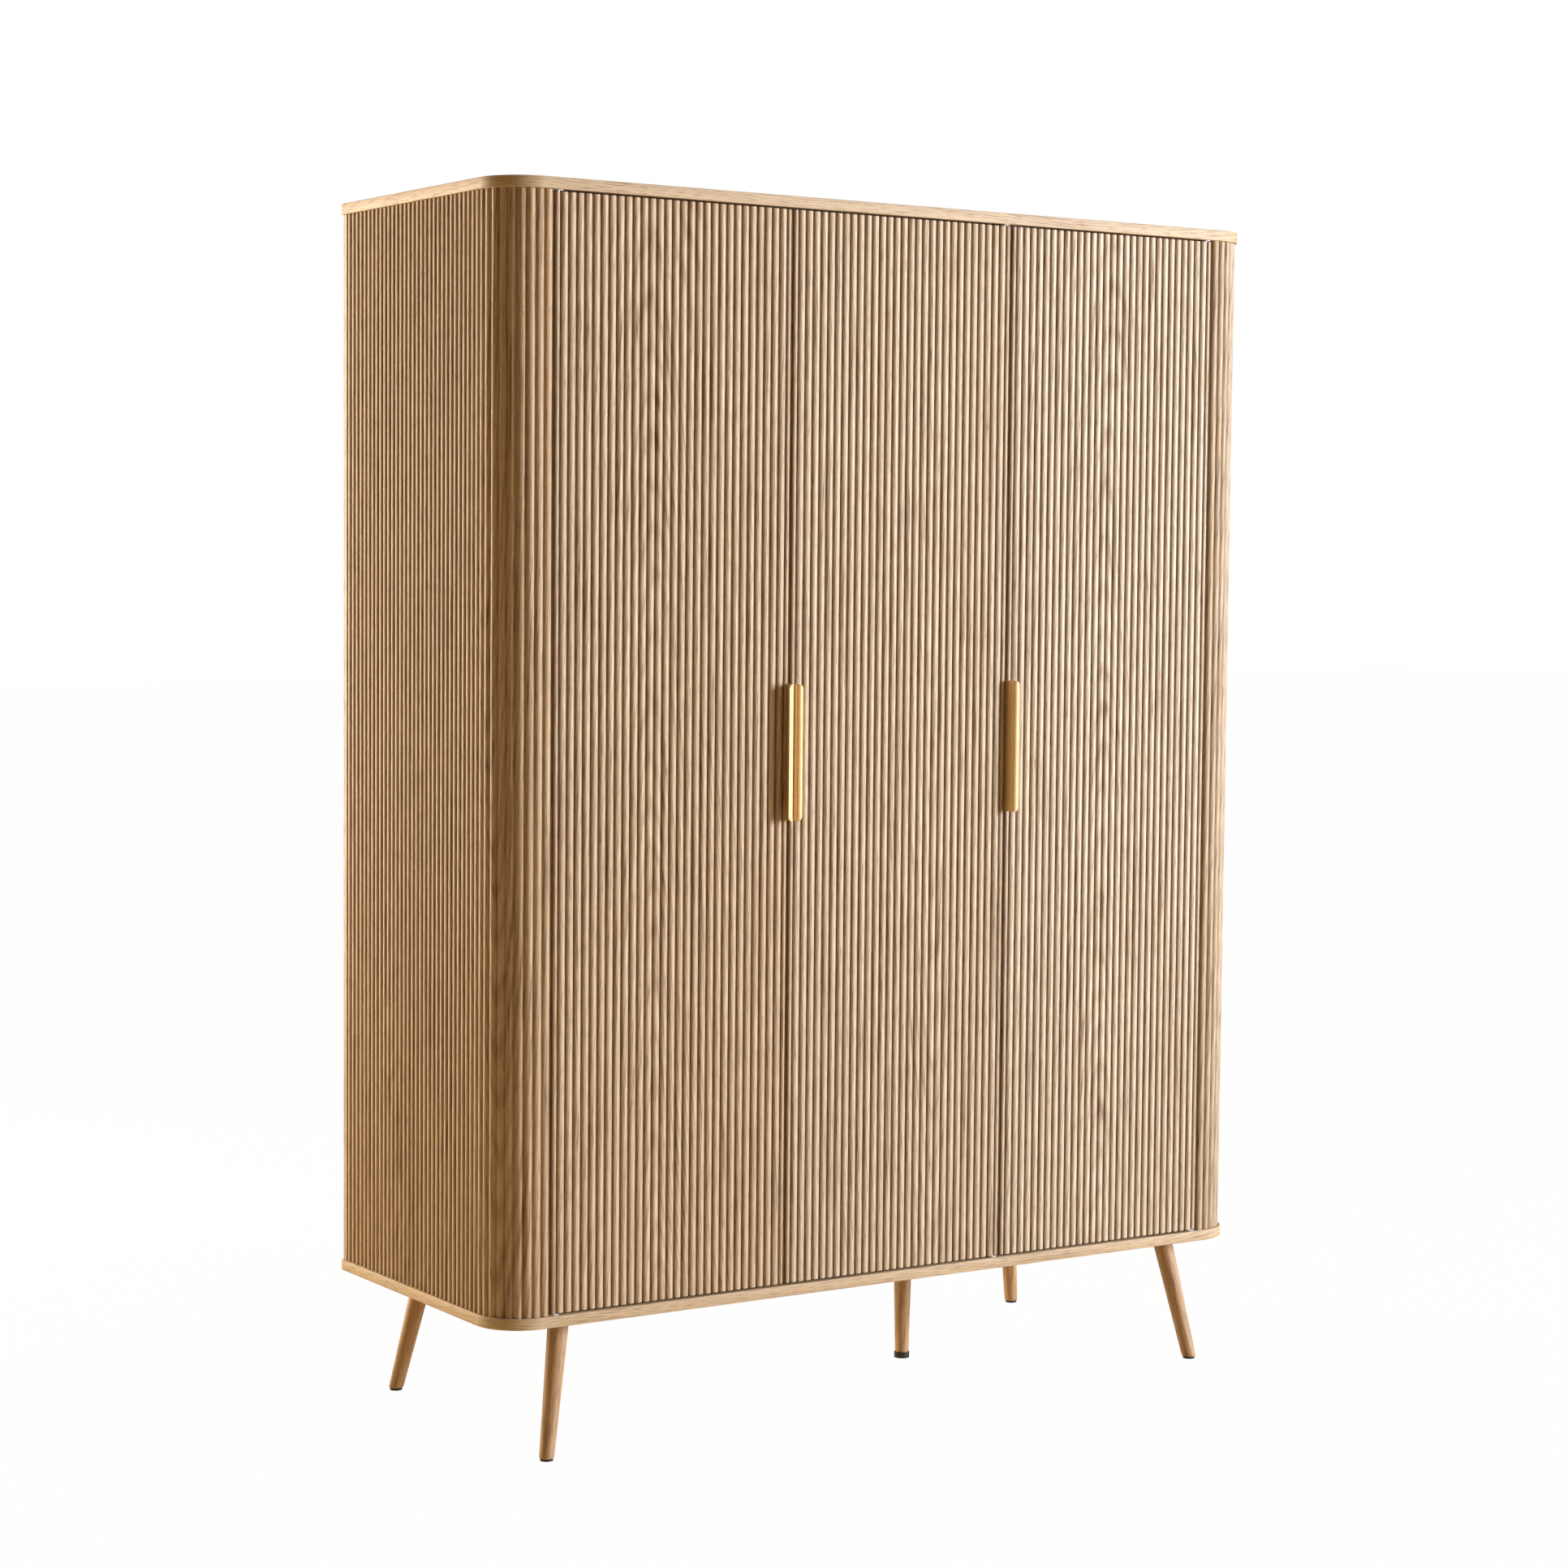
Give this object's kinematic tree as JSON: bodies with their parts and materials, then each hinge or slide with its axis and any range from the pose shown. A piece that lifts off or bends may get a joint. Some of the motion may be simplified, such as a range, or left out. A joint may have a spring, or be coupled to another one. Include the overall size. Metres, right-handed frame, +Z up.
{
  "type": "wardrobe with doors",
  "caption": "Freestanding reeded wardrobe with hinged doors, rounded front corners, edge pulls and splayed round legs.",
  "frame": {"origin": "on the floor, in the middle of the whole object's footprint, handles counted in", "axes": "+Z up, +X to the right seen from the front, doors face -Y"},
  "size_m": [1.5, 0.576, 2],
  "materials": {
    "oak": "light oak veneer, matt lacquer",
    "leg_oak": "solid oak, matt lacquer",
    "interior_board": "oak-faced board, matt",
    "plain_timber": "planed softwood",
    "back_board": "thin oak-faced hardboard",
    "satin_brass": "satin, lacquered",
    "zinc_steel": "bright zinc",
    "rail_steel": "polished",
    "black_plastic": "moulded",
    "grey_plastic": "moulded",
    "bush_nylon": "natural nylon"
  },
  "bodies": {
    "carcass": {"top_slab": "oak", "bottom_slab": "oak", "left_side_board": "interior_board", "right_side_board": "interior_board", "left_fluted_skin": "oak", "right_fluted_skin": "oak", "left_corner_post": "plain_timber", "right_corner_post": "plain_timber", "partition": "interior_board", "left_back_panel": "back_board", "middle_back_panel": "back_board", "right_back_panel": "back_board", "back_joining_strip": "plain_timber", "hat_shelf": "interior_board", "lower_shelf": "interior_board", "lower_middle_shelf": "interior_board", "upper_middle_shelf": "interior_board", "upper_shelf": "interior_board", "shelf_pins": "zinc_steel", "clothes_rail": "rail_steel", "rail_sockets": "rail_steel", "front_left_leg": "leg_oak", "back_left_leg": "leg_oak", "front_right_leg": "leg_oak", "back_right_leg": "leg_oak", "centre_leg": "leg_oak", "leg_bolts": "zinc_steel", "leg_plates": "zinc_steel", "wood_screws": "zinc_steel", "foot_glides": "black_plastic", "centre_foot_glide": "black_plastic", "bottom_pivot_bushes": "bush_nylon", "top_pivot_bushes": "bush_nylon", "magnetic_catches": "grey_plastic", "door_stops": "black_plastic", "cam_discs": "zinc_steel", "cam_bolts": "zinc_steel", "dowels": "plain_timber", "wall_brackets": "zinc_steel"},
    "left_door": {"left_door_panel": "oak", "left_door_handle": "satin_brass", "left_door_handle_screws": "zinc_steel", "left_door_bottom_pivot": "zinc_steel", "left_door_top_pivot": "zinc_steel", "left_door_pivot_screws": "zinc_steel", "left_door_strike_plate": "zinc_steel"},
    "middle_door": {"middle_door_panel": "oak", "middle_door_handle": "satin_brass", "middle_door_handle_screws": "zinc_steel", "middle_door_bottom_pivot": "zinc_steel", "middle_door_top_pivot": "zinc_steel", "middle_door_pivot_screws": "zinc_steel", "middle_door_strike_plate": "zinc_steel"},
    "right_door": {"right_door_panel": "oak", "right_door_handle": "satin_brass", "right_door_handle_screws": "zinc_steel", "right_door_bottom_pivot": "zinc_steel", "right_door_top_pivot": "zinc_steel", "right_door_pivot_screws": "zinc_steel", "right_door_strike_plate": "zinc_steel"}
  },
  "joints": [
    {"name": "left_door_hinge", "type": "hinge", "parent": "carcass", "child": "left_door", "pos_m": [-0.6475, -0.2585, 1.107], "axis": [0, 0, -1], "range_deg": [0, 95]},
    {"name": "middle_door_hinge", "type": "hinge", "parent": "carcass", "child": "middle_door", "pos_m": [0.20917, -0.2585, 1.107], "axis": [0, 0, 1], "range_deg": [0, 90]},
    {"name": "right_door_hinge", "type": "hinge", "parent": "carcass", "child": "right_door", "pos_m": [0.6475, -0.2585, 1.107], "axis": [0, 0, 1], "range_deg": [0, 95]}
  ]
}
